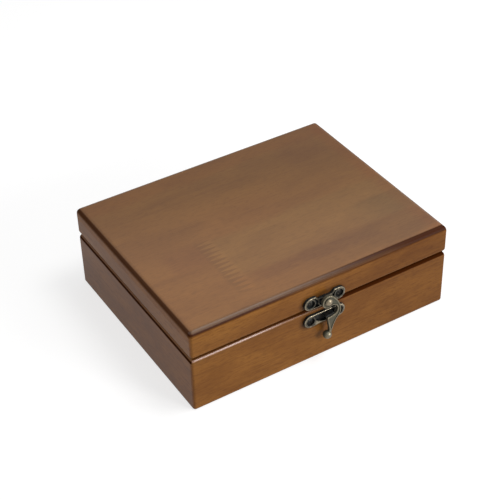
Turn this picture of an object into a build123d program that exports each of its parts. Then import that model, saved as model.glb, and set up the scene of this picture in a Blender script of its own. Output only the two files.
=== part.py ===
"""A hinged wooden keepsake box with two butt hinges and a cast swing-hook latch.

The box stands on its flat underside. The origin is the centre of that underside, without
the latch and the hinges. +X runs along the front from left to right, +Y runs to the hinged
back and +Z is up. All sizes are millimetres.
"""

import os
from math import cos, radians, sin

from build123d import *

# Overall sizes of the closed box
box_width = 200.0
box_depth = 158.0
base_height = 42.6
lid_height = 21.4
parting_gap = 0.6

# Boards
wall_thickness = 8.0
top_board_thickness = 8.0
bottom_board_thickness = 4.0
rebate_width = 4.0
rebate_clearance = 0.15

# Rounded edges of the wood
corner_radius = 2.0
top_edge_radius = 4.0
base_rim_radius = 3.4
lid_rim_radius = 2.7
foot_edge_radius = 1.5
inner_edge_radius = 0.6

# Butt hinges, let into the rims of the back walls
hinge_inset = 40.0
leaf_length = 24.0
leaf_reach = 6.8
leaf_thickness = 0.9
leaf_clearance = 0.1
leaf_corner_radius = 1.2
knuckle_count = 5
knuckle_radius = 2.0
knuckle_gap = 0.2
knuckle_relief = 0.4
pin_radius = 1.0
pin_clearance = 0.05
pin_head_radius = 1.7
pin_head_height = 0.6
pin_head_edge_radius = 0.4

# Countersunk screws of the hinges
hinge_screw_spacing = 15.0
hinge_screw_inset = 4.0
hinge_screw_radius = 0.8
hinge_screw_head_radius = 1.6
hinge_screw_length = 7.0
hinge_screw_point = 1.2

# Latch plates
latch_offset = -0.8
pivot_above_lid_edge = 5.7
plate_spacing = 14.6
ear_spacing = 22.2
ear_radius = 4.8
ear_ring_radius = 3.9
ear_bowl_radius = 3.1
plate_floor = 0.6
plate_thickness = 2.0
plate_rim_width = 0.8
plate_edge_radius = 0.6
waist_length = 10.0
waist_slope = 2.4
waist_corner_radius = 1.2
hook_plate_waist = 2.3
catch_plate_waist = 4.3
collar_radius = 5.6
collar_width = 0.8
boss_radius = 2.7
boss_height = 3.8
boss_edge_radius = 0.4
bay_radius = 9.8
bay_depth = 3.2

# Pan-head screws of the latch plates
latch_screw_radius = 1.1
latch_screw_head_radius = 2.4
latch_screw_head_height = 0.9
latch_screw_length = 6.5
latch_screw_point = 1.6

# Hook, in a plane parallel to the front of the box
hook_clearance = 0.2
hook_thickness = 2.2
hook_rim_width = 0.9
hook_hollow_depth = 0.4
hook_edge_radius = 0.4
hook_corner_radius = 0.5
eye_radius = 4.8
eye_hub_radius = 2.9
eye_top_angle = 47.0
eye_side_angle = -58.0
jaw_radius = 13.1
jaw_start_angle = -93.0
jaw_end_angle = -66.0
ball_radius = 3.0
ball_drop = 28.3
ball_above_face = 4.8

# Points of the hook's outline, to the right of the pivot and below it
arm_right = 9.8
arm_down = 8.1
root_right = 8.1
root_down = 14.7
heel_right = 3.5
heel_down = 23.5
neck_left = 0.5
neck_right = 2.2
neck_down = 26.9
stem_left = 1.0
stem_down = 23.3
lip_left = -0.5
lip_down = 15.1
mouth_right = 7.2
mouth_down = 8.0

# Tongue on the lower plate, held by the hook's jaw
tongue_clearance = 0.35
tongue_thickness = 1.2
tongue_start_angle = -98.0
tongue_end_angle = -67.0
tongue_short_of_face = 0.6
tongue_corner_radius = 0.5
tongue_edge_radius = 0.3

# Rivet that carries the hook
rivet_radius = 1.5
rivet_clearance = 0.05
rivet_head_radius = 2.8
rivet_head_height = 1.7

# Fit of screws in wood and metal, and the screws' cross slots
screw_clearance = 0.05
pilot_extra_depth = 0.5
slot_width = 0.44
slot_depth = 0.45
slot_share = 0.6

# Sizes that follow from the ones above
inner_width = box_width - 2 * wall_thickness
inner_depth = box_depth - 2 * wall_thickness
lid_bottom = base_height + parting_gap
lid_wall_height = lid_height - top_board_thickness
hinge_axis_y = box_depth / 2 + knuckle_radius
hinge_axis_z = base_height + parting_gap / 2
hinge_places = (hinge_inset - box_width / 2, box_width / 2 - hinge_inset)
knuckle_pitch = leaf_length / knuckle_count
screw_y = box_depth / 2 - hinge_screw_inset
pivot_z = lid_bottom + pivot_above_lid_edge
catch_plate_z = pivot_z - plate_spacing
eye_back = boss_height + hook_clearance
eye_front = eye_back + hook_thickness
tongue_outer = jaw_radius - tongue_clearance
tongue_inner = tongue_outer - tongue_thickness


def front_plane(height, above_face=0.0):
    """A plane parallel to the front, at the latch, whose normal points away from the box."""
    origin = (latch_offset, -box_depth / 2 - above_face, height)
    return Plane(origin=origin, x_dir=(1, 0, 0), z_dir=(0, -1, 0))


def outer_edges(part, axis, outside):
    """The edges along an axis that lie on the outside of a frame."""
    return part.edges().filter_by(axis).filter_by(lambda e: outside(e.center()))


def is_corner(point):
    """True for a point outside the inner walls in both directions."""
    return abs(point.X) > inner_width / 2 + 1 and abs(point.Y) > inner_depth / 2 + 1


def hinge_screw_spots():
    """The plan positions of all the screws along one rim."""
    return [
        (x + side * hinge_screw_spacing / 2, screw_y)
        for x in hinge_places
        for side in (-1, 1)
    ]


def cut_hinge_seats(rim, into_wood):
    """Cuts the leaf mortises and screw holes into a rim. into_wood is -1 for down, 1 for up."""
    reach = leaf_reach + leaf_clearance
    depth = leaf_thickness + leaf_clearance / 2
    with BuildSketch(Plane.XY.offset(rim)) as seats:
        with Locations(*[(x, box_depth / 2 - reach) for x in hinge_places]):
            Rectangle(
                leaf_length + 2 * leaf_clearance,
                2 * reach,
                align=(Align.CENTER, Align.MIN),
            )
    extrude(seats.sketch, amount=into_wood * depth, mode=Mode.SUBTRACT)
    with BuildSketch(Plane.XY.offset(rim)) as holes:
        with Locations(*hinge_screw_spots()):
            Circle(hinge_screw_radius + screw_clearance)
    hole_depth = hinge_screw_length + pilot_extra_depth
    extrude(holes.sketch, amount=into_wood * hole_depth, mode=Mode.SUBTRACT)


def cut_latch_holes(height):
    """Cuts the pilot holes of one latch plate into the front wall."""
    with BuildSketch(front_plane(height)) as holes:
        with GridLocations(ear_spacing, 1, 2, 1):
            Circle(latch_screw_radius + screw_clearance)
    extrude(holes.sketch, amount=-latch_screw_length, mode=Mode.SUBTRACT)


def wall_of(frame, outward, label):
    """One mitred wall: the part of a frame between the two diagonals beside outward."""
    with BuildPart() as wall:
        add(frame.part)
        for side in (-1, 1):
            along = (-outward[1] * side, outward[0] * side)
            corner = (
                box_width / 2 * (outward[0] + along[0]),
                box_depth / 2 * (outward[1] + along[1]),
                0,
            )
            inward = (outward[0] - along[0], outward[1] - along[1], 0)
            split(bisect_by=Plane(origin=corner, z_dir=inward), keep=Keep.TOP)
    wall.part.label = label
    return wall


def hinge_leaf(x, into_wood, label):
    """One leaf with its knuckles. into_wood is -1 for the leaf on the base, 1 on the lid."""
    rim = base_height if into_wood < 0 else lid_bottom
    own = range(0, knuckle_count, 2) if into_wood < 0 else range(1, knuckle_count, 2)
    others = [k for k in range(knuckle_count) if k not in own]
    starts = {k: x - leaf_length / 2 + k * knuckle_pitch for k in range(knuckle_count)}
    relief_y = hinge_axis_y - knuckle_radius - knuckle_relief
    below_leaf = rim - knuckle_radius
    with BuildPart() as leaf:
        with BuildSketch(Plane.XY.offset(rim)):
            with Locations((x, box_depth / 2 - leaf_reach)):
                Rectangle(
                    leaf_length,
                    leaf_reach + knuckle_radius,
                    align=(Align.CENTER, Align.MIN),
                )
        extrude(amount=into_wood * leaf_thickness)
        inside = leaf.edges().filter_by(Axis.Z).group_by(Axis.Y)[0]
        fillet(inside, radius=leaf_corner_radius)
        for k in others:
            with BuildSketch(Plane.XY.offset(below_leaf)):
                with Locations((starts[k] - knuckle_gap / 2, relief_y)):
                    Rectangle(
                        knuckle_pitch + knuckle_gap,
                        2 * knuckle_radius,
                        align=(Align.MIN, Align.MIN),
                    )
            extrude(amount=2 * knuckle_radius, mode=Mode.SUBTRACT)
        for k in own:
            near = starts[k] + (0 if k == 0 else knuckle_gap / 2)
            far = starts[k] + knuckle_pitch - (0 if k == knuckle_count - 1 else knuckle_gap / 2)
            with BuildSketch(Plane.YZ.offset(near)):
                with Locations((hinge_axis_y, hinge_axis_z)):
                    Circle(knuckle_radius)
            extrude(amount=far - near)
        with BuildSketch(Plane.YZ.offset(x - leaf_length)):
            with Locations((hinge_axis_y, hinge_axis_z)):
                Circle(pin_radius + pin_clearance)
        extrude(amount=2 * leaf_length, mode=Mode.SUBTRACT)
        turn = 0 if into_wood < 0 else 180
        spots = [(x + side * hinge_screw_spacing / 2, screw_y, rim) for side in (-1, 1)]
        with Locations(*[Location(spot, (turn, 0, 0)) for spot in spots]):
            CounterSinkHole(
                radius=hinge_screw_radius + screw_clearance,
                counter_sink_radius=hinge_screw_head_radius + screw_clearance,
                depth=leaf_thickness * 2,
            )
    leaf.part.label = label
    return leaf


def hinge_pin(x, label):
    """The pin through all five knuckles, with a small button head at each end."""
    with BuildPart() as pin:
        with BuildSketch(Plane.YZ.offset(x - leaf_length / 2)):
            with Locations((hinge_axis_y, hinge_axis_z)):
                Circle(pin_radius)
        extrude(amount=leaf_length)
        for side in (-1, 1):
            end = x + side * (leaf_length / 2 + pin_clearance)
            with BuildSketch(Plane.YZ.offset(end)):
                with Locations((hinge_axis_y, hinge_axis_z)):
                    Circle(pin_head_radius)
            extrude(amount=side * pin_head_height)
            with BuildSketch(Plane.YZ.offset(end)):
                with Locations((hinge_axis_y, hinge_axis_z)):
                    Circle(pin_radius)
            extrude(amount=-side * knuckle_pitch / 2)
        rims = pin.edges().filter_by(GeomType.CIRCLE).group_by(Axis.X)
        fillet(rims[0] + rims[-1], radius=pin_head_edge_radius)
    pin.part.label = label
    return pin


def cross_slot(top_plane, reach):
    """Cuts a cross slot into a screw's head, from the plane of its top."""
    with BuildSketch(top_plane) as cross:
        Rectangle(2 * reach, slot_width)
        Rectangle(slot_width, 2 * reach)
    extrude(cross.sketch, amount=-slot_depth, mode=Mode.SUBTRACT)


def hinge_screws(rim, into_wood, label):
    """The four countersunk screws that hold both leaves to one rim."""
    head_depth = hinge_screw_head_radius - hinge_screw_radius
    with BuildPart() as screws:
        for x, y in hinge_screw_spots():
            with BuildSketch(Plane(origin=(x, y, rim), x_dir=(1, 0, 0), z_dir=(0, -1, 0))):
                with BuildLine():
                    Polyline(
                        (0, 0),
                        (hinge_screw_head_radius, 0),
                        (hinge_screw_radius, into_wood * head_depth),
                        (hinge_screw_radius, into_wood * (hinge_screw_length - hinge_screw_point)),
                        (0, into_wood * hinge_screw_length),
                        close=True,
                    )
                make_face()
            revolve(axis=Axis((x, y, rim), (0, 0, 1)))
            top = Plane(origin=(x, y, rim), z_dir=(0, 0, -into_wood))
            cross_slot(top, hinge_screw_head_radius * slot_share)
    screws.part.label = label
    return screws


def plate_outline(shrink, waist):
    """A latch plate's outline: round ends, and a waist above (+) or below (-) its middle."""
    side = 1 if waist > 0 else -1
    half = waist_length / 2 + shrink
    edge = waist - side * shrink
    far = side * 2 * ear_radius
    slope = waist_slope / (ear_radius - abs(waist)) * abs(far - waist)
    SlotCenterToCenter(ear_spacing, 2 * (ear_radius - shrink))
    Polygon(
        (-half - slope, far),
        (-half, edge),
        (half, edge),
        (half + slope, far),
        align=None,
        mode=Mode.SUBTRACT,
    )


def latch_plate(plate, height, waist):
    """A cast plate with round ends, a raised rim and a bowl for each screw."""
    with BuildSketch(front_plane(height)) as outline:
        plate_outline(0, waist)
        waist_corners = outline.vertices().filter_by(lambda v: abs(v.X) < ear_spacing / 2 - 0.5)
        fillet(waist_corners, radius=waist_corner_radius)
    extrude(outline.sketch, amount=plate_thickness)
    top = plate.faces().sort_by(Axis.Y)[0]
    fillet(top.outer_wire().edges(), radius=plate_edge_radius)
    with BuildSketch(front_plane(height, plate_floor)) as bowls:
        with GridLocations(ear_spacing, 1, 2, 1):
            Circle(ear_bowl_radius)
    extrude(bowls.sketch, amount=plate_thickness, mode=Mode.SUBTRACT)
    with BuildSketch(front_plane(height)) as holes:
        with GridLocations(ear_spacing, 1, 2, 1):
            Circle(latch_screw_radius + screw_clearance)
    extrude(holes.sketch, amount=plate_thickness, mode=Mode.SUBTRACT)


def latch_screws(height, label):
    """The two pan-head screws of one latch plate."""
    seat = -box_depth / 2 - plate_floor
    tip = seat + latch_screw_length
    crown = seat - latch_screw_head_height
    with BuildPart() as screws:
        for side in (-1, 1):
            x = latch_offset + side * ear_spacing / 2
            with BuildSketch(Plane(origin=(x, 0, height), x_dir=(1, 0, 0), z_dir=(0, 0, 1))):
                with BuildLine():
                    Polyline(
                        (0, crown),
                        (0, tip),
                        (latch_screw_radius, tip - latch_screw_point),
                        (latch_screw_radius, seat),
                        (latch_screw_head_radius, seat),
                    )
                    TangentArc((0, crown), (latch_screw_head_radius, seat), tangent=(1, 0))
                make_face()
            revolve(axis=Axis((x, 0, height), (0, 1, 0)))
            top = Plane(origin=(x, crown, height), x_dir=(1, 0, 0), z_dir=(0, -1, 0))
            cross_slot(top, latch_screw_head_radius * slot_share)
    screws.part.label = label
    return screws


def polar(radius, angle):
    """A point at a radius and an angle in degrees about the hook's pivot."""
    return (radius * cos(radians(angle)), radius * sin(radians(angle)))


# Base frame: the four walls before they are cut apart at the mitres
with BuildPart() as base_frame:
    with BuildSketch():
        Rectangle(box_width, box_depth)
        Rectangle(inner_width, inner_depth, mode=Mode.SUBTRACT)
    extrude(amount=base_height)
    fillet(outer_edges(base_frame, Axis.Z, is_corner), radius=corner_radius)
    rim = base_frame.faces().sort_by(Axis.Z)[-1]
    fillet(rim.outer_wire().edges(), radius=base_rim_radius)
    rim = base_frame.faces().sort_by(Axis.Z)[-1]
    fillet(rim.inner_wires()[0].edges(), radius=inner_edge_radius)
    foot = base_frame.faces().sort_by(Axis.Z)[0]
    fillet(foot.outer_wire().edges(), radius=foot_edge_radius)
    with BuildSketch():
        Rectangle(inner_width + 2 * rebate_width, inner_depth + 2 * rebate_width)
    extrude(amount=bottom_board_thickness, mode=Mode.SUBTRACT)
    cut_hinge_seats(base_height, -1)
    cut_latch_holes(catch_plate_z)

# Lid frame: the four rails before they are cut apart at the mitres
with BuildPart() as lid_frame:
    with BuildSketch(Plane.XY.offset(lid_bottom)):
        Rectangle(box_width, box_depth)
        Rectangle(inner_width, inner_depth, mode=Mode.SUBTRACT)
    extrude(amount=lid_wall_height)
    fillet(outer_edges(lid_frame, Axis.Z, is_corner), radius=corner_radius)
    rim = lid_frame.faces().sort_by(Axis.Z)[0]
    fillet(rim.outer_wire().edges(), radius=lid_rim_radius)
    rim = lid_frame.faces().sort_by(Axis.Z)[0]
    fillet(rim.inner_wires()[0].edges(), radius=inner_edge_radius)
    cut_hinge_seats(lid_bottom, 1)
    cut_latch_holes(pivot_z)

sides = {"front": (0, -1), "right": (1, 0), "back": (0, 1), "left": (-1, 0)}
base_walls = [wall_of(base_frame, out, f"base_{side}_wall") for side, out in sides.items()]
lid_rails = [wall_of(lid_frame, out, f"lid_{side}_rail") for side, out in sides.items()]

# Bottom board, glued up into the rebate of the four walls and flush with their lower edges
with BuildPart() as bottom_board:
    with BuildSketch():
        overhang = 2 * (rebate_width - rebate_clearance)
        Rectangle(inner_width + overhang, inner_depth + overhang)
    extrude(amount=bottom_board_thickness)
bottom_board.part.label = "base_bottom_board"

# Top board, glued onto the rails, with a rounded edge all round
with BuildPart() as top_board:
    with BuildSketch(Plane.XY.offset(lid_bottom + lid_wall_height)):
        RectangleRounded(box_width, box_depth, corner_radius)
    extrude(amount=top_board_thickness)
    face = top_board.faces().sort_by(Axis.Z)[-1]
    fillet(face.outer_wire().edges(), radius=top_edge_radius)
top_board.part.label = "lid_top_board"

# Hinges
hinge_parts = []
for side, x in zip(("left", "right"), hinge_places):
    hinge_parts.append(hinge_leaf(x, -1, f"{side}_hinge_base_leaf"))
    hinge_parts.append(hinge_leaf(x, 1, f"{side}_hinge_lid_leaf"))
    hinge_parts.append(hinge_pin(x, f"{side}_hinge_pin"))
hinge_parts.append(hinge_screws(base_height, -1, "hinge_base_screws"))
hinge_parts.append(hinge_screws(lid_bottom, 1, "hinge_lid_screws"))

# Latch plate on the lid: a collar in its middle rings the boss that the hook turns on
with BuildPart() as hook_plate:
    latch_plate(hook_plate, pivot_z, hook_plate_waist)
    with BuildSketch(front_plane(pivot_z, plate_floor)) as side_fields:
        plate_outline(plate_rim_width, hook_plate_waist)
        Circle(collar_radius, mode=Mode.SUBTRACT)
        with GridLocations(ear_spacing, 1, 2, 1):
            Circle(ear_ring_radius, mode=Mode.SUBTRACT)
    extrude(side_fields.sketch, amount=plate_thickness, mode=Mode.SUBTRACT)
    with BuildSketch(front_plane(pivot_z, plate_floor)) as middle_field:
        plate_outline(plate_rim_width, hook_plate_waist)
        Circle(collar_radius - collar_width, mode=Mode.INTERSECT)
    extrude(middle_field.sketch, amount=plate_thickness, mode=Mode.SUBTRACT)
    with BuildSketch(front_plane(pivot_z)) as boss:
        Circle(boss_radius)
    extrude(boss.sketch, amount=boss_height)
    boss_top = hook_plate.faces().sort_by(Axis.Y)[0]
    fillet(boss_top.edges(), radius=boss_edge_radius)
    with BuildSketch(front_plane(pivot_z)) as bore:
        Circle(rivet_radius)
    extrude(bore.sketch, amount=boss_height, mode=Mode.SUBTRACT)
hook_plate.part.label = "latch_hook_plate"

# Latch plate on the base: a round-bottomed bay, and the curved tongue that the jaw holds
with BuildPart() as catch_plate:
    latch_plate(catch_plate, catch_plate_z, -catch_plate_waist)
    with BuildSketch(front_plane(catch_plate_z, plate_floor)) as bay:
        plate_outline(plate_rim_width, -catch_plate_waist)
        with Locations((0, bay_radius - bay_depth)):
            Circle(bay_radius, mode=Mode.INTERSECT)
        with GridLocations(ear_spacing, 1, 2, 1):
            Circle(ear_ring_radius, mode=Mode.SUBTRACT)
    extrude(bay.sketch, amount=plate_thickness, mode=Mode.SUBTRACT)
    with BuildSketch(front_plane(pivot_z)) as tongue:
        with BuildLine():
            span = tongue_end_angle - tongue_start_angle
            outer = CenterArc((0, 0), tongue_outer, tongue_start_angle, span)
            inner = CenterArc((0, 0), tongue_inner, tongue_start_angle, span)
            Line(outer @ 0, inner @ 0)
            Line(outer @ 1, inner @ 1)
        make_face()
        fillet(tongue.vertices(), radius=tongue_corner_radius)
    extrude(tongue.sketch, amount=eye_front - tongue_short_of_face)
    tongue_end = catch_plate.faces().sort_by(Axis.Y)[0]
    fillet(tongue_end.edges(), radius=tongue_edge_radius)
catch_plate.part.label = "latch_catch_plate"

# Hook: an eye round the rivet, a bowed arm, a jaw that opens to the left, and a ball.
# Its face is hollowed, so that a rim runs round it and a hub stands in the eye.
with BuildLine() as hook_edge:
    eye_top = polar(eye_radius, eye_top_angle)
    eye_side = polar(eye_radius, eye_side_angle)
    lip = polar(jaw_radius, jaw_start_angle)
    throat = polar(jaw_radius, jaw_end_angle)
    arm = (arm_right, -arm_down)
    root = (root_right, -root_down)
    heel = (heel_right, -heel_down)
    shoulder = TangentArc(eye_top, arm, tangent=polar(1, eye_top_angle - 90))
    bulge = TangentArc(arm, root, tangent=shoulder % 1)
    TangentArc(root, heel, tangent=bulge % 1)
    Polyline(
        heel,
        (neck_right, -neck_down),
        (neck_left, -neck_down),
        (stem_left, -stem_down),
        (lip_left, -lip_down),
        lip,
    )
    CenterArc((0, 0), jaw_radius, jaw_start_angle, jaw_end_angle - jaw_start_angle)
    ThreePointArc(throat, (mouth_right, -mouth_down), eye_side)
    ThreePointArc(eye_side, (-eye_radius, 0), eye_top)

with BuildPart() as hook:
    with BuildSketch(front_plane(pivot_z, eye_back)) as hook_outline:
        make_face(hook_edge.line)
        in_stem = hook_outline.vertices().filter_by(lambda v: v.X < throat[0] + 1 and v.Y < throat[1] + 1)
        fillet(in_stem, radius=hook_corner_radius)
    extrude(hook_outline.sketch, amount=hook_thickness)
    front = hook.faces().sort_by(Axis.Y)[0]
    fillet(front.outer_wire().edges(), radius=hook_edge_radius)
    with BuildSketch(front_plane(pivot_z, eye_front)) as hollow:
        make_face(hook_edge.line)
        offset(amount=-hook_rim_width, mode=Mode.REPLACE)
        Circle(eye_hub_radius, mode=Mode.SUBTRACT)
        with Locations((0, -heel_down)):
            Rectangle(box_width, ball_drop, align=(Align.CENTER, Align.MAX), mode=Mode.SUBTRACT)
    extrude(hollow.sketch, amount=-hook_hollow_depth, mode=Mode.SUBTRACT)
    ball_centre = front_plane(pivot_z, ball_above_face).from_local_coords((0, -ball_drop, 0))
    with Locations(ball_centre):
        Sphere(ball_radius, rotation=(90, 0, 0))
    with BuildSketch(front_plane(pivot_z)) as eye_bore:
        Circle(rivet_radius + rivet_clearance)
    extrude(eye_bore.sketch, amount=eye_front, mode=Mode.SUBTRACT)
hook.part.label = "latch_hook"

# Rivet: its shank is fixed in the plate on the lid, and the hook turns on it
with BuildPart() as rivet:
    with BuildSketch(front_plane(pivot_z)):
        Circle(rivet_radius)
    extrude(amount=eye_front + rivet_clearance)
    under_head = -box_depth / 2 - eye_front - rivet_clearance
    with BuildSketch(Plane(origin=(latch_offset, 0, pivot_z), x_dir=(1, 0, 0), z_dir=(0, 0, 1))):
        with BuildLine():
            crown = (0, under_head - rivet_head_height)
            Polyline(crown, (0, under_head), (rivet_head_radius, under_head))
            TangentArc(crown, (rivet_head_radius, under_head), tangent=(1, 0))
        make_face()
    revolve(axis=Axis((latch_offset, 0, pivot_z), (0, 1, 0)))
rivet.part.label = "latch_rivet"

parts = [*base_walls, bottom_board, *lid_rails, top_board, *hinge_parts]
parts += [hook_plate, catch_plate, hook, rivet]
parts.append(latch_screws(pivot_z, "latch_hook_plate_screws"))
parts.append(latch_screws(catch_plate_z, "latch_catch_plate_screws"))

os.makedirs("parts", exist_ok=True)
for piece in parts:
    export_step(piece.part, f"parts/{piece.part.label}.step")
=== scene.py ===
"""The look of the wooden keepsake box: finishes, light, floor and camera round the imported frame."""

from collections import namedtuple
from math import cos, radians, sin

import bpy
from mathutils import Matrix, Vector


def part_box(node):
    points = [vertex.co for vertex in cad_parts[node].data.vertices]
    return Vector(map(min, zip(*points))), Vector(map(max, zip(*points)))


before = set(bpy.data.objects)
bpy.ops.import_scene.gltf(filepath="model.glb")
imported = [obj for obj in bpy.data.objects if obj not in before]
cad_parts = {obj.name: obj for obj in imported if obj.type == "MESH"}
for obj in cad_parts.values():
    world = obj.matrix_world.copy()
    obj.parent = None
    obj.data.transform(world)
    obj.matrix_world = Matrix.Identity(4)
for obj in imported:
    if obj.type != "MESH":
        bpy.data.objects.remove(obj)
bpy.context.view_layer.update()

MM = 0.001


def mm(*values):
    """A point given in millimetres, as a vector in metres."""
    return Vector(values) * MM


def node_box(name):
    """The lowest and highest corners of a CAD node, in millimetres."""
    low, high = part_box(name)
    return Vector(low) / MM, Vector(high) / MM


def srgb(red, green, blue):
    """A colour given as 0 to 255 screen values, as linear RGBA."""
    def linear(value):
        share = value / 255
        return share / 12.92 if share <= 0.04045 else ((share + 0.055) / 1.055) ** 2.4
    return (linear(red), linear(green), linear(blue), 1.0)


# Camera, fitted to the photograph's perspective: place, sensor and lens in millimetres, and angles
# of azimuth, elevation and roll in degrees
CAMERA_PLACE = (-378.0, -617.0, 602.7)
CAMERA_ANGLES = (-30.96, 38.07, -1.57)
SENSOR_WIDTH = 36.0
LENS = 95.51

# Soft lamps: place, aim and size in millimetres, and power in watts
LAMPS = {
    "key": ((1120.0, -1310.0, 383.0), (0.0, -79.0, 30.0), (1200.0, 900.0), 16.8),
    "strip": ((695.0, -1569.0, 772.0), (0.0, -79.0, 40.0), (480.0, 340.0), 9.5),
    "top": ((300.0, -200.0, 1000.0), (0.0, -40.0, 60.0), (420.0, 420.0), 4.8),
}

# Levels of the surroundings and the floor, where 1 renders white, and the floor's width in metres
SKY_LEVEL = 0.42
FLOOR_GLOW = 0.69
FLOOR_SHADE = 0.40
FLOOR_BOUNCE = 0.50
FLOOR_SIZE = 8.0

# Places below are in millimetres. A range is its two ends, at times followed by how soft they are, or
# by the two values that they are mapped onto. An end that is None is left open

# Outer faces of the box and its two rims at the parting line
(LEFT, FRONT, _), (RIGHT, BACK, TOP) = node_box("lid_top_board")
BASE_RIM = node_box("base_front_wall")[1].z
LID_RIM = node_box("lid_front_rail")[0].z

# The latch plates: ears of one radius at both ends of a middle line, and the lower plate's round bay
hook_plate_low, hook_plate_high = node_box("latch_hook_plate")
catch_plate_low, catch_plate_high = node_box("latch_catch_plate")
LATCH_X = (hook_plate_low.x + hook_plate_high.x) / 2
EAR_RADIUS = (hook_plate_high.z - hook_plate_low.z) / 2
EAR_OFFSET = (hook_plate_high.x - hook_plate_low.x) / 2 - EAR_RADIUS
HOOK_PLATE_Z = (hook_plate_low.z + hook_plate_high.z) / 2
CATCH_PLATE_Z = (catch_plate_low.z + catch_plate_high.z) / 2
BAY_Z = CATCH_PLATE_Z + 6.6
BAY_RADIUS = 9.8

# A figure in wood or metal: its length and width, the detail, roughness and warp of its noise, and
# the range of the noise over which it appears
Figure = namedtuple("Figure", "length width detail rough warp shown")
STREAKS = Figure(70.0, 2.4, 3.0, 0.6, 0.3, (0.5, 0.8))
FIBRES = Figure(14.0, 0.45, 2.0, 0.6, 0.0, (0.45, 0.8))
CLOUDS = Figure(50.0, 20.0, 3.0, 0.55, 0.4, (0.3, 0.7))
FLECKS = Figure(5.0, 1.1, 2.0, 0.6, 0.0, (0.45, 0.75))
BLOTCHES = Figure(9.0, 3.0, 3.0, 0.6, 0.0, (0.35, 0.65))
WAVES = Figure(40.0, 14.0, 2.0, 0.5, 0.0, (0.2, 0.8))
METAL_GRAIN = Figure(0.9, 0.9, 4.0, 0.6, 0.0, (0.45, 0.75))
METAL_PATCHES = Figure(3.0, 3.0, 2.0, 0.5, 0.0, (0.35, 0.65))
METAL_SPOTS = Figure(1.7, 1.7, 2.0, 0.5, 0.0, (0.35, 0.6))

# Turns that lay a figure's length along the box or across it
ALONG = (0.0, 0.0, 0.0)
ACROSS = (0.0, 0.0, radians(90))

# Shifts that make the figure differ: between two walls and between base and lid, and on two boards
WALL_SHIFT = (37.0, 53.0)
BODY_SHIFTS = {"base": 11.0, "lid": 0.0}
BOTTOM_SHIFT = (400.0, 0.0, 0.0)
TOP_SHIFT = (0.0, 0.0, 40.0)
NO_SHIFT = (0.0, 0.0, 0.0)

# Weight of the varnish on the front and back, on the sides, and on the top from front to back, its
# roughness on the walls and the top, and the roughness of the wood under it
FRONT_GLOSS = 0.25
SIDE_GLOSS = 0.46
TOP_GLOSS = (0.95, 0.66)
WALL_ROUGHNESS = 0.28
TOP_ROUGHNESS = 0.4
WOOD_ROUGHNESS = 0.6

# Bumps of the wood's fibres and of the metal's grain: their height in metres, and their strength
FIBRE_HEIGHT = 0.00012
FIBRE_RELIEF = 0.12
GRAIN_HEIGHT = 0.0001
GRAIN_RELIEF = 0.3

# Colours of the wood, as pale, middle and dark tones, and of what darkens it
STAINED_TONES = (srgb(138, 91, 40), srgb(119, 75, 32), srgb(84, 46, 18))
BARE_TONES = (srgb(192, 154, 104), srgb(182, 143, 94), srgb(140, 102, 60))
EDGE_STAIN = srgb(58, 26, 6)

# Tints that paint light and shade: the left side lighter on the lid and darker, less grey on the
# base, and the front darker towards its right end. Then the range of x in which the left face ends,
# and the range in which the front's right end begins
SIDE_SHADING_TINTS = {
    "base": ((0.98, 0.86, 0.76), (0.78, 0.75, 0.74)),
    "lid": ((1.16, 1.08, 1.04), (0.71, 0.66, 0.64)),
}
LEFT_FACE_END = (LEFT + 0.4, LEFT + 1.0)
RIGHT_END = (-60.0, 95.0)

# Painted shadow round the latch, a dark halo on the wood: how far it reaches, and a bit further to
# the left and below
PAINTED_SHADOW = srgb(40, 24, 12)
PAINTED_SHADOW_SHARE = 0.5
PAINTED_SHADOW_REACH = 3.5
PAINTED_SHADOW_LEFT = 1.0
PAINTED_SHADOW_DOWN = 0.5

# How far a face leans, from 0 for upright to 1 for level, where a rounding begins and where it ends
ROUNDING_BEGINS = (0.05, 0.25)
ROUNDING_ENDS = (0.94, 0.99)

# How far from the rim the rounding at the parting line is stained dark, or None where it isn't
RIM_STAINS = {
    ("base", "front"): (None, 0.9),
    ("base", "left"): (1.4, 3.0),
    ("lid", "front"): (None, 1.1),
    ("lid", "left"): None,
}
OTHER_RIM_STAINS = {"base": (None, 1.7), "lid": (None, 1.5)}
RIM_SOFTNESS = 0.4

# On the base's front the stain reaches lower and gets stronger from left to right
STAIN_DROP = (-40.0, 20.0, 0.0, 1.2)
STAIN_GAIN = (-60.0, 20.0, 0.75, 1.0)

# Left of the latch the base's front rounding shines, over a bluer line: depths below the rim with
# their softness, and how both fade along the front. The shine is glossier varnish, and a highlight
# painted in a paler colour
SHINE_DEPTHS = (0.9, 1.9, 0.3)
SHINE_FADE = (-62.0, -12.0, 1.0, 0.0)
PAINTED_SHINE_COLOUR = srgb(154, 116, 98)
SHINE_RELIEF = 0.03
UNDER_DEPTHS = (2.1, 3.3, 0.3)
UNDER_FADE = (-40.0, 0.0, 0.8, 0.0)
UNDER_TINT = (0.78, 0.86, 1.1)

# How far a face looks up, from 0 to 1, where the top board's upper face begins, and the ranges in
# which the board's rounded edges begin, towards its four sides
UPWARD_FACE = (0.4, 0.7)
FRONT_EDGE = (FRONT + 3.1, FRONT + 4.1)
LEFT_EDGE = (LEFT + 1.6, LEFT + 2.8)
RIGHT_EDGE = (RIGHT - 2.6, RIGHT - 1.4)
BACK_EDGE = (BACK - 2.4, BACK - 1.4)

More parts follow.
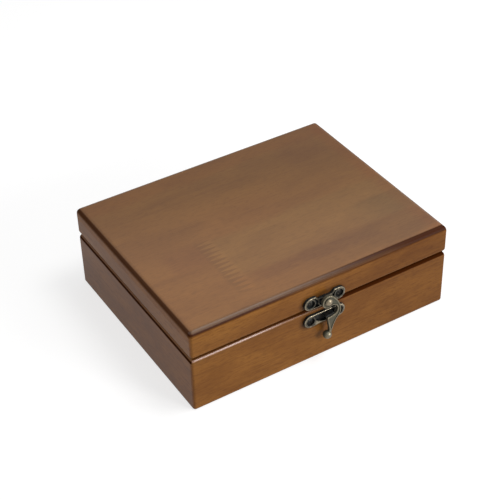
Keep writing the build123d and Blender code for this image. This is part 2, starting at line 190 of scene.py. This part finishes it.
# Depths below the top at which the stain of these edges begins or ends. In front it is on the lower
# part, and on all of the edge towards the right, with a paler line in the middle that is a painted
# sheen
FRONT_STAIN_BEGINS = (0.9, 1.6)
FRONT_STAIN_ENDS = (2.0, 3.7)
FRONT_STAIN_SPREADS = (-45.0, 45.0)
OTHER_STAIN_ENDS = (2.2, 3.2)
LEFT_STAIN_ENDS = (1.7, 4.8, 0.85, 0.0)
PAINTED_SHEEN_DEPTHS = (0.7, 2.3, 0.3)
PAINTED_SHEEN_RUN = (-30.0, 60.0, 15.0)
PAINTED_SHEEN_SHARE = 0.42
STAIN_DULLS = 0.85

# The sheen on the front edge: depths at which it ends, its fading to the right, its least weight,
# and the depths at which the edge itself ends
SHEEN_ENDS = (1.0, 1.8)
SHEEN_FADE = (-50.0, 80.0, 0.68, 0.14)
LEAST_SHEEN = 0.11
EDGE_ENDS = (2.7, 3.7)

# Finger joint between two strips of the top board
JOINT_X = -47.0
JOINT_REACH = 6.0
JOINT_PITCH = 4.5
JOINT_START = -14.6
JOINT_AREA = {"x": (JOINT_X - JOINT_REACH, JOINT_X + JOINT_REACH, 2.0), "y": (-62.0, -3.0, 2.0)}

# How far the lines of the top's grain sway, how much its slope of tone turns to the right, and the
# range of that slope over which the top gets duller, and darker with painted shade where the light
# falls off
WAVE_SWAY = 2.0
SLOPE_TURN = 0.35
PAINTED_SHADE_AND_DULL_SLOPE = (0.0, None, 80.0)

# Areas of the top board with a tone of their own, and some with painted light and shade: a tint, and
# the ranges that the area lies in, with their softness, along what top_measures names
TOP_AREAS = (
    # The whole top, tinted bluer to paint in part of its grey satin sheen, and its darker part towards
    # the back right, painted shade where the light falls off
    ((0.98, 1.02, 1.25), {}),
    ((0.67, 0.70, 0.62), {"slope": PAINTED_SHADE_AND_DULL_SLOPE}),
    # A paler middle
    ((1.08, 1.07, 1.05), {"x": (-40.0, 20.0, 15.0), "y": (-5.0, 28.0, 12.0)}),
    # The front strip, darker towards the right
    ((0.77, 0.78, 0.76), {"x": (17.5, None, 57.5), "wavy": (-74.0, -48.5, 3.0)}),
    # The pale strip beyond the finger joint, and its darker right end
    ((1.01, 1.10, 1.14), {"beyond": (0.0, None, 0.6), "wavy": (-48.0, -5.0, 3.0)}),
    ((0.78, 0.80, 0.82), {"x": (62.0, None, 20.0), "wavy": (-48.0, -24.0, 3.0)}),
    # Dark fingers of the joint, with paler ones between them
    ((0.87, 0.87, 0.87), JOINT_AREA),
    ((1.28, 1.29, 1.30), {**JOINT_AREA, "beyond": (0.0, None, 1.5)}),
    # A darker patch left of the joint
    ((0.93, 0.89, 0.93), {"x": (-78.0, -50.0, 4.0), "wavy": (-26.0, -2.0, 5.0)}),
    # Redder wood along the back, along the right edge and near the corner between them
    ((1.02, 0.94, 0.90), {"wavy": (62.0, None, 4.0)}),
    ((1.03, 0.92, 0.86), {"x": (89.0, None, 5.0)}),
    ((0.92, 0.88, 0.90), {"x": (53.0, 87.0, 8.0), "y": (39.0, 66.0, 6.0)}),
    # Darker, bluer wood along the front edge: partly stain, partly the painted grey of its sheen
    ((0.47, 0.52, 0.76), {"y": (None, FRONT + 3.5, 1.5)}),
)

# A blotchy area in front of the pale strip: its least and greatest share of the tint, where a share
# over 1 counts as 1
BLOTCHY_TINT = (0.85, 0.82, 0.86)
BLOTCHY_AREA = {"x": (-36.0, 56.0, 10.0), "wavy": (-60.0, -48.5, 2.5)}
BLOTCHY_SHARES = (0.55, 1.3)

# Colours of the metal, as two tones of patina, the grey of its grain and the rubbed places
BLACK_PATINA = (srgb(30, 26, 24), srgb(34, 40, 42))
GREEN_PATINA = (srgb(84, 80, 66), srgb(76, 76, 64))
GRAIN_GREY = srgb(92, 86, 74)
RUBBED_PLATE = srgb(166, 154, 130)
RUBBED_HOOK = srgb(128, 118, 98)
RUBBED_RIVET = srgb(146, 132, 110)

# Where metal is rubbed: distances in front of the box over which the wear begins and, on the
# plates, ends, and ranges of its facing and its grain
PLATE_WEAR_BEGINS = (1.5, 1.95)
PLATE_WEAR_ENDS = (2.2, 2.6)
HOOK_WEAR_BEGINS = (5.85, 6.15)
RIVET_WEAR_BEGINS = (6.3, 6.9)
WEAR_BY_FACING = (-0.9, -0.3, 1.0, 0.15)
WEAR_BY_GRAIN = (0.3, 0.65, 0.3, 1.0)
DARK_WEAR_BY_GRAIN = (0.5, 0.8, 0.0, 0.5)

# Distances from the plates' middle line and from the bay's middle at which their rubbed rims begin.
# The bay's rim is rubbed only below its top and near the middle
PLATE_RIM = (EAR_RADIUS - 1.2, EAR_RADIUS - 0.5, 0.3, 1.0)
BAY_RIM = (BAY_RADIUS - 0.4, BAY_RADIUS + 0.1)
BAY_RIM_TOP = (CATCH_PLATE_Z - 1.3, CATCH_PLATE_Z - 0.3)
BAY_RIM_SIDES = (6.5, 8.5)


class Nodes:
    """A node tree and short calls that add nodes to it. Most calls return an output socket."""

    def __init__(self, owner):
        owner.use_nodes = True
        self.nodes = owner.node_tree.nodes
        self.links = owner.node_tree.links

    def add(self, kind, inputs=None, **settings):
        node = self.nodes.new(kind)
        for key, value in settings.items():
            setattr(node, key, value)
        for key, value in (inputs or {}).items():
            self.put(node.inputs[key], value)
        return node

    def put(self, socket, value):
        if isinstance(value, bpy.types.NodeSocket):
            self.links.new(value, socket)
        else:
            socket.default_value = value

    def math(self, operation, first, second=0.0):
        return self.add("ShaderNodeMath", {0: first, 1: second}, operation=operation).outputs[0]

    def minus(self, first, second):
        return self.math("SUBTRACT", first, second)

    def times(self, first=1.0, *others):
        """The product of all the values, which is 1 if there are none."""
        for other in others:
            first = self.math("MULTIPLY", first, other)
        return first

    def largest(self, first, *others):
        for other in others:
            first = self.math("MAXIMUM", first, other)
        return first

    def distance(self, across, along):
        """The length of a way that goes across and then along, at a right angle."""
        squares = self.math("ADD", self.times(across, across), self.times(along, along))
        return self.math("SQRT", squares)

    def between(self, value, low, high, out_low=0.0, out_high=1.0):
        """Maps value smoothly from the range low to high onto the range out_low to out_high."""
        keys = {"Value": value, "From Min": low, "From Max": high, "To Min": out_low, "To Max": out_high}
        return self.add("ShaderNodeMapRange", keys, interpolation_type="SMOOTHSTEP").outputs[0]

    def fall(self, value, low, high):
        """1 where value is below low, and 0 where it is above high."""
        return self.between(value, low, high, 1.0, 0.0)

    def band(self, value, low, high, soft):
        """1 where value lies between low and high, with soft ends. An end that is None is left open."""
        rise = 1.0 if low is None else self.between(value, low - soft, low + soft)
        fall = 1.0 if high is None else self.fall(value, high - soft, high + soft)
        return self.times(rise, fall)

    def mix(self, share, first, second, blend="MIX"):
        node = self.add("ShaderNodeMix", data_type="RGBA", blend_type=blend)
        self.put(node.inputs["Factor"], share)
        self.put(node.inputs["A"], first)
        self.put(node.inputs["B"], second)
        return node.outputs["Result"]

    def tint(self, share, colour, tint):
        """The colour times a tint of red, green and blue, where share is 1."""
        return self.mix(share, colour, (*tint, 1.0), "MULTIPLY")

    def split(self, vector):
        return self.add("ShaderNodeSeparateXYZ", {0: vector}).outputs

    def scale(self, vector, factors):
        return self.add("ShaderNodeVectorMath", {0: vector, 1: factors}, operation="MULTIPLY").outputs[0]

    def place(self):
        """The point on the object in millimetres, in the frame of the part at rest."""
        return self.scale(self.add("ShaderNodeTexCoord").outputs["Object"], (1 / MM,) * 3)

    def facing(self):
        """The direction that the surface faces, in the frame of the part at rest."""
        return self.split(self.add("ShaderNodeTexCoord").outputs["Normal"])

    def noise(self, figure, place, turn=ALONG, shift=NO_SHIFT):
        """The noise of a figure, turned to lie along the grain and shifted to differ between boards."""
        turned = self.add("ShaderNodeMapping", {"Vector": place, "Rotation": turn, "Location": shift})
        shares = (1 / figure.length, 1 / figure.width, 1 / figure.width)
        keys = {
            "Vector": self.scale(turned.outputs[0], shares),
            "Scale": 1.0,
            "Detail": figure.detail,
            "Roughness": figure.rough,
            "Distortion": figure.warp,
        }
        return self.add("ShaderNodeTexNoise", keys).outputs["Fac"]

    def bump(self, height, strength, depth):
        keys = {"Height": height, "Strength": strength, "Distance": depth}
        return self.add("ShaderNodeBump", keys).outputs[0]

    def directly_seen(self):
        """1 for rays from the camera, off gloss and through glass, and 0 for those that carry light."""
        path = self.add("ShaderNodeLightPath").outputs
        return self.largest(path["Is Camera Ray"], path["Is Glossy Ray"], path["Is Transmission Ray"])


class Finish(Nodes):
    """A new material, with its shader's sockets at hand."""

    def __init__(self, name):
        self.material = bpy.data.materials.new(name)
        super().__init__(self.material)
        self.surface = self.nodes["Principled BSDF"]

    def set(self, key, value):
        self.put(self.surface.inputs[key], value)


def wood_pattern(finish, place, turn, shift, tones, streaky=0.5, flecked=0.4, cloudy=1.0):
    """Streaks, fibres and soft clouds of stain along the grain. Returns colour and fibre height."""
    pale, middle, dark = tones
    figures = (CLOUDS, STREAKS, FLECKS, FIBRES)
    cloud, streak, fleck, fibre = (finish.noise(figure, place, turn, shift) for figure in figures)
    cloud = finish.between(cloud, *CLOUDS.shown, 0.5 - cloudy / 2, 0.5 + cloudy / 2)
    colour = finish.mix(cloud, middle, pale)
    colour = finish.mix(finish.between(streak, *STREAKS.shown, 0.0, streaky), colour, dark)
    colour = finish.mix(finish.between(fleck, *FLECKS.shown, 0.0, flecked), colour, dark)
    colour = finish.mix(finish.between(fibre, *FIBRES.shown, 0.0, flecked), colour, dark)
    return colour, fibre


def varnish(finish, fibre, gloss, roughness, relief=FIBRE_RELIEF):
    """A satin varnish, as a clear coat over dull wood with a slight relief of fibres."""
    finish.set("Specular IOR Level", 0.0)
    finish.set("Roughness", WOOD_ROUGHNESS)
    finish.set("Coat Weight", gloss)
    finish.set("Coat Roughness", roughness)
    finish.set("Normal", finish.bump(fibre, relief, FIBRE_HEIGHT))


def plate_distance(finish, x, z, left=0.0, down=0.0):
    """Distance from the middle line of the nearer latch plate, if both are moved left and down."""
    across = finish.math("ABSOLUTE", finish.minus(x, LATCH_X - left))
    across = finish.largest(finish.minus(across, EAR_OFFSET), 0.0)
    distances = [
        finish.distance(across, finish.minus(z, height - down)) for height in (HOOK_PLATE_Z, CATCH_PLATE_Z)
    ]
    return finish.math("MINIMUM", *distances)


def side_wood(finish, place, turn, shift, tints):
    """Colour and fibre height of an upright face. Where it has tints, which paint light and shade on the
    left side and the right end of the front, it also has a painted shadow near the latch, which reaches
    through the board."""
    colour, fibre = wood_pattern(finish, place, turn, shift, STAINED_TONES)
    if tints:
        x, _, z = finish.split(place)
        left_shading, right_shading = tints
        # Painted light and shade: the left side's tint, and the front darker towards its right end
        colour = finish.tint(finish.fall(x, *LEFT_FACE_END), colour, left_shading)
        colour = finish.tint(finish.between(x, *RIGHT_END), colour, right_shading)
        # Painted shadow of the latch plates, a little to the left of them and below
        away = plate_distance(finish, x, z, PAINTED_SHADOW_LEFT, PAINTED_SHADOW_DOWN)
        near = finish.fall(away, EAR_RADIUS, EAR_RADIUS + PAINTED_SHADOW_REACH)
        colour = finish.mix(finish.times(near, PAINTED_SHADOW_SHARE), colour, PAINTED_SHADOW)
    return colour, fibre


def rim_shine(finish, colour, x, from_rim, rounded):
    """The shine on the base's front rounding, glossier varnish and a painted highlight, over a bluer
    line. Returns the colour with both, and how far a point is in the shine."""
    under = finish.times(finish.band(from_rim, *UNDER_DEPTHS), finish.between(x, *UNDER_FADE))
    colour = finish.tint(under, colour, UNDER_TINT)
    shine = finish.times(finish.band(from_rim, *SHINE_DEPTHS), finish.between(x, *SHINE_FADE), rounded)
    # The shine's paler colour is a painted highlight
    return finish.mix(shine, colour, PAINTED_SHINE_COLOUR), shine


def stained_rim(finish, place, body, side, reach, colour, gloss):
    """The rounding at the parting line, stained dark and dull as far from the rim as reach says, and
    shiny in part on the base's front, with a painted highlight. Returns colour, weight of the varnish
    and relief."""
    x, _, z = finish.split(place)
    from_rim = finish.minus(BASE_RIM, z) if body == "base" else finish.minus(z, LID_RIM)
    lean = finish.math("ABSOLUTE", finish.facing()[2])
    rounded = finish.times(finish.between(lean, *ROUNDING_BEGINS), finish.fall(lean, *ROUNDING_ENDS))
    shiny = (body, side) == ("base", "front")
    from_stain = finish.minus(from_rim, finish.between(x, *STAIN_DROP)) if shiny else from_rim
    stained = finish.times(rounded, finish.band(from_stain, *reach, RIM_SOFTNESS))
    weight = finish.between(stained, 0.0, 1.0, gloss, 0.0)
    relief = FIBRE_RELIEF
    if shiny:
        colour, shine = rim_shine(finish, colour, x, from_rim, rounded)
        weight = finish.largest(weight, shine)
        relief = finish.between(shine, 0.0, 0.5, FIBRE_RELIEF, SHINE_RELIEF)
        stained = finish.times(stained, finish.between(x, *STAIN_GAIN))
    return finish.mix(stained, colour, EDGE_STAIN), weight, relief


def wall_wood(body, side, index):
    """Stained wood of a wall of the base or a rail of the lid, index places round from the front."""
    finish = Finish(f"{body}_{side}")
    place = finish.place()
    turn, gloss = (ALONG, FRONT_GLOSS) if side in ("front", "back") else (ACROSS, SIDE_GLOSS)
    shift = (WALL_SHIFT[0] * index, WALL_SHIFT[1] * index, BODY_SHIFTS[body])
    tints = SIDE_SHADING_TINTS[body] if side in ("front", "left") else None
    colour, fibre = side_wood(finish, place, turn, shift, tints)
    weight, relief = gloss, FIBRE_RELIEF
    reach = RIM_STAINS.get((body, side), OTHER_RIM_STAINS[body])
    if reach:
        colour, weight, relief = stained_rim(finish, place, body, side, reach, colour, gloss)
    finish.set("Base Color", colour)
    varnish(finish, fibre, weight, WALL_ROUGHNESS, relief)
    return finish.material


def bottom_wood():
    """Bare plywood of the bottom board."""
    finish = Finish("bottom_board")
    colour, fibre = wood_pattern(finish, finish.place(), ALONG, BOTTOM_SHIFT, BARE_TONES)
    finish.set("Base Color", colour)
    varnish(finish, fibre, 0.0, WALL_ROUGHNESS)
    return finish.material


def top_measures(finish, place):
    """What the areas of the top are measured along: x, y, a wavy y that keeps to the grain, a slope
    towards the back right, and how far a point is beyond the zigzag of the finger joint."""
    x, y, _ = finish.split(place)
    wave = finish.between(finish.noise(WAVES, place), *WAVES.shown, -WAVE_SWAY, WAVE_SWAY)
    wavy = finish.math("ADD", y, wave)
    slope = finish.math("ADD", finish.times(x, SLOPE_TURN), y)
    tooth = finish.math("PINGPONG", finish.minus(y, JOINT_START), JOINT_PITCH / 2)
    tooth = finish.between(tooth, 0.0, JOINT_PITCH / 2, -JOINT_REACH, JOINT_REACH)
    beyond = finish.minus(finish.minus(x, JOINT_X), tooth)
    return {"x": x, "y": y, "wavy": wavy, "slope": slope, "beyond": beyond}


def area_share(finish, measures, area):
    """1 inside an area of the top and 0 outside it."""
    return finish.times(*[finish.band(measures[name], *span) for name, span in area.items()])


def top_colour(finish, place, measures):
    """Colour and fibre height of the upper face: the wood's figure, areas with their own tone, and
    painted light and shade.
    """
    colour, fibre = wood_pattern(
        finish, place, ALONG, TOP_SHIFT, STAINED_TONES, streaky=0.2, flecked=0.25, cloudy=0.5
    )
    for tint, area in TOP_AREAS:
        colour = finish.tint(area_share(finish, measures, area), colour, tint)
    blotches = finish.between(finish.noise(BLOTCHES, place), *BLOTCHES.shown, *BLOTCHY_SHARES)
    blotchy = finish.times(area_share(finish, measures, BLOTCHY_AREA), blotches)
    return finish.tint(blotchy, colour, BLOTCHY_TINT), fibre


def top_edge_stain(finish, x, y, depth, front_edge):
    """How dark the rounded edges of the top board are stained, from 0 to 1, less along a painted sheen."""
    lower = finish.between(depth, *FRONT_STAIN_BEGINS)
    to_right = finish.between(x, *FRONT_STAIN_SPREADS)
    # A paler line with less stain along the middle of the front edge, a painted sheen
    paler = finish.times(finish.band(x, *PAINTED_SHEEN_RUN), finish.band(depth, *PAINTED_SHEEN_DEPTHS), PAINTED_SHEEN_SHARE)
    front = finish.times(
        front_edge,
        finish.largest(lower, to_right),
        finish.fall(depth, *FRONT_STAIN_ENDS),
        finish.minus(1.0, paler),
    )
    right_or_back = finish.largest(finish.between(x, *RIGHT_EDGE), finish.between(y, *BACK_EDGE))
    right_or_back = finish.times(right_or_back, finish.fall(depth, *OTHER_STAIN_ENDS))
    left = finish.times(finish.fall(x, *LEFT_EDGE), finish.between(depth, *LEFT_STAIN_ENDS))
    return finish.largest(front, right_or_back, left)


def top_gloss(finish, x, depth, slope, upward, stained, front_edge):
    """Weight of the top board's varnish: less towards the back right, on the upright faces and on
    stained edges, with a sheen along the upper part of the front edge."""
    side_gloss = finish.between(x, *LEFT_FACE_END, SIDE_GLOSS, FRONT_GLOSS)
    face_gloss = finish.between(finish.band(slope, *PAINTED_SHADE_AND_DULL_SLOPE), 0.0, 1.0, *TOP_GLOSS)
    weight = finish.between(upward, 0.0, 1.0, side_gloss, face_gloss)
    weight = finish.times(weight, finish.fall(finish.times(stained, STAIN_DULLS), 0.0, 1.0))
    sheen = finish.times(finish.fall(depth, *SHEEN_ENDS), finish.between(x, *SHEEN_FADE))
    sheen = finish.largest(sheen, LEAST_SHEEN)
    on_edge = finish.times(front_edge, finish.fall(depth, *EDGE_ENDS))
    return finish.math("ADD", weight, finish.times(on_edge, finish.minus(sheen, weight)))


def top_wood():
    """The lid's top board, glued up from strips, one of them with a finger joint."""
    finish = Finish("top_board")
    place = finish.place()
    x, y, z = finish.split(place)
    depth = finish.minus(TOP, z)
    upward = finish.between(finish.facing()[2], *UPWARD_FACE)
    front_edge = finish.fall(y, *FRONT_EDGE)
    measures = top_measures(finish, place)
    side_colour, _ = side_wood(finish, place, ALONG, NO_SHIFT, SIDE_SHADING_TINTS["lid"])
    face_colour, fibre = top_colour(finish, place, measures)
    colour = finish.mix(upward, side_colour, face_colour)
    stained = top_edge_stain(finish, x, y, depth, front_edge)
    weight = top_gloss(finish, x, depth, measures["slope"], upward, stained, front_edge)
    finish.set("Base Color", finish.mix(stained, colour, EDGE_STAIN))
    varnish(finish, fibre, weight, TOP_ROUGHNESS)
    return finish.material


def plate_wear(finish, x, z):
    """1 along the outline of the latch plates and below the lower plate's bay, less elsewhere."""
    outline = finish.between(plate_distance(finish, x, z), *PLATE_RIM)
    across = finish.minus(x, LATCH_X)
    from_bay = finish.distance(across, finish.minus(z, BAY_Z))
    bay_rim = finish.times(
        finish.between(from_bay, *BAY_RIM),
        finish.fall(z, *BAY_RIM_TOP),
        finish.fall(finish.math("ABSOLUTE", across), *BAY_RIM_SIDES),
    )
    return finish.largest(outline, bay_rim)


def outward_wear(finish, grain, out, begins, least):
    """How far metal is rubbed, from 0 to 1: in front of where the wear begins, on faces that look
    forward, and unevenly, down to least between the rubbed spots."""
    spots = finish.noise(METAL_SPOTS, finish.place())
    return finish.times(
        finish.between(out, *begins),
        finish.between(finish.facing()[1], *WEAR_BY_FACING),
        finish.between(grain, *WEAR_BY_GRAIN),
        finish.between(spots, *METAL_SPOTS.shown, least, 1.0),
    )


def bronze(finish, grain, patinas, rubbed, worn, grey=0.6):
    """Cast metal with a patina of two tones that is greyed by its grain and rubbed bright where worn."""
    patches = finish.noise(METAL_PATCHES, finish.place())
    patina = finish.mix(finish.between(patches, *METAL_PATCHES.shown), *patinas)
    patina = finish.mix(finish.between(grain, *METAL_GRAIN.shown, 0.0, grey), patina, GRAIN_GREY)
    finish.set("Base Color", finish.mix(worn, patina, rubbed))
    finish.set("Metallic", finish.between(worn, 0.0, 1.0, 0.6, 1.0))
    finish.set("Specular IOR Level", 0.25)
    finish.set("Roughness", finish.between(worn, 0.0, 1.0, 0.55, 0.3))
    finish.set("Normal", finish.bump(grain, GRAIN_RELIEF, GRAIN_HEIGHT))
    return finish.material


def plate_bronze():
    """The latch plates, rubbed on their rims but not on the boss and the tongue in front of them."""
    finish = Finish("plate_bronze")
    x, y, z = finish.split(finish.place())
    out = finish.minus(FRONT, y)
    grain = finish.noise(METAL_GRAIN, finish.place())
    worn = finish.times(
        outward_wear(finish, grain, out, PLATE_WEAR_BEGINS, least=0.45),
        finish.fall(out, *PLATE_WEAR_ENDS),
        plate_wear(finish, x, z),
    )
    return bronze(finish, grain, BLACK_PATINA, RUBBED_PLATE, worn, grey=0.35)


def raised_bronze(name, rubbed, wear_begins):
    """The hook or the rivet, rubbed where it stands furthest out."""
    finish = Finish(name)
    out = finish.minus(FRONT, finish.split(finish.place())[1])
    grain = finish.noise(METAL_GRAIN, finish.place())
    worn = outward_wear(finish, grain, out, wear_begins, least=0.8)
    return bronze(finish, grain, GREEN_PATINA, rubbed, worn)


def dark_bronze():
    """Screws and hinges, with only their grain rubbed."""
    finish = Finish("dark_bronze")
    grain = finish.noise(METAL_GRAIN, finish.place())
    worn = finish.between(grain, *DARK_WEAR_BY_GRAIN)
    return bronze(finish, grain, BLACK_PATINA, RUBBED_HOOK, worn)


def give(material, *names):
    """Puts a material on CAD nodes."""
    for name in names:
        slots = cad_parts[name].data.materials
        slots.clear()
        slots.append(material)


def finish_box():
    """Gives every CAD node its finish."""
    give(top_wood(), "lid_top_board")
    for body, ending in (("base", "wall"), ("lid", "rail")):
        for index, side in enumerate(("front", "right", "back", "left")):
            give(wall_wood(body, side, index), f"{body}_{side}_{ending}")
    give(bottom_wood(), "base_bottom_board")
    give(plate_bronze(), "latch_hook_plate", "latch_catch_plate")
    give(raised_bronze("hook_bronze", RUBBED_HOOK, HOOK_WEAR_BEGINS), "latch_hook")
    give(raised_bronze("rivet_bronze", RUBBED_RIVET, RIVET_WEAR_BEGINS), "latch_rivet")
    fittings = [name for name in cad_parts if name.endswith("screws") or "_hinge_" in name]
    give(dark_bronze(), *fittings)


def add_floor():
    """A large pale floor whose own colour shows white, with the object's soft shadow."""
    bpy.ops.mesh.primitive_plane_add(size=FLOOR_SIZE)
    floor = bpy.context.object
    floor.name = "floor"
    finish = Finish("floor")
    finish.nodes.remove(finish.surface)
    bounce = finish.add("ShaderNodeBsdfDiffuse", {"Color": (FLOOR_BOUNCE,) * 3 + (1.0,)}).outputs[0]
    shade = finish.add("ShaderNodeBsdfDiffuse", {"Color": (FLOOR_SHADE,) * 3 + (1.0,)}).outputs[0]
    glow = finish.add("ShaderNodeEmission", {"Strength": FLOOR_GLOW}).outputs[0]
    white = finish.add("ShaderNodeAddShader", {0: shade, 1: glow}).outputs[0]
    both = finish.add("ShaderNodeMixShader", {0: finish.directly_seen(), 1: bounce, 2: white}).outputs[0]
    finish.put(finish.nodes["Material Output"].inputs["Surface"], both)
    floor.data.materials.append(finish.material)


def add_lamp(name, place, aim, size, power):
    """A soft lamp of a width and a depth at place, in millimetres, that points at aim."""
    data = bpy.data.lights.new(name, "AREA")
    data.shape = "RECTANGLE"
    data.size, data.size_y = mm(*size)
    data.energy = power
    lamp = bpy.data.objects.new(name, data)
    bpy.context.scene.collection.objects.link(lamp)
    lamp.location = mm(*place)
    lamp.rotation_euler = (mm(*aim) - lamp.location).to_track_quat("-Z", "Y").to_euler()


def light_scene():
    """Even surroundings, white to the camera and in reflections, and the soft lamps."""
    world = bpy.data.worlds.new("studio")
    bpy.context.scene.world = world
    studio = Nodes(world)
    background = studio.nodes["Background"].inputs
    studio.put(background["Color"], (1.0, 1.0, 1.0, 1.0))
    level = studio.between(studio.directly_seen(), 0.0, 1.0, SKY_LEVEL, 1.0)
    studio.put(background["Strength"], level)
    for name, settings in LAMPS.items():
        add_lamp(name, *settings)


def add_camera():
    """A camera at the photograph's place and angles."""
    data = bpy.data.cameras.new("camera")
    data.sensor_width = SENSOR_WIDTH
    data.lens = LENS
    camera = bpy.data.objects.new("camera", data)
    bpy.context.scene.collection.objects.link(camera)
    bpy.context.scene.camera = camera
    azimuth, elevation, roll = (radians(angle) for angle in CAMERA_ANGLES)
    back = Vector((sin(azimuth) * cos(elevation), -cos(azimuth) * cos(elevation), sin(elevation)))
    level_right = Vector((cos(azimuth), sin(azimuth), 0.0))
    level_up = back.cross(level_right)
    right = level_right * cos(roll) + level_up * sin(roll)
    up = back.cross(right)
    turned = Matrix((right, up, back)).transposed().to_4x4()
    camera.matrix_world = Matrix.Translation(mm(*CAMERA_PLACE)) @ turned


bpy.context.scene.view_settings.view_transform = "Standard"
add_camera()
light_scene()
add_floor()
finish_box()
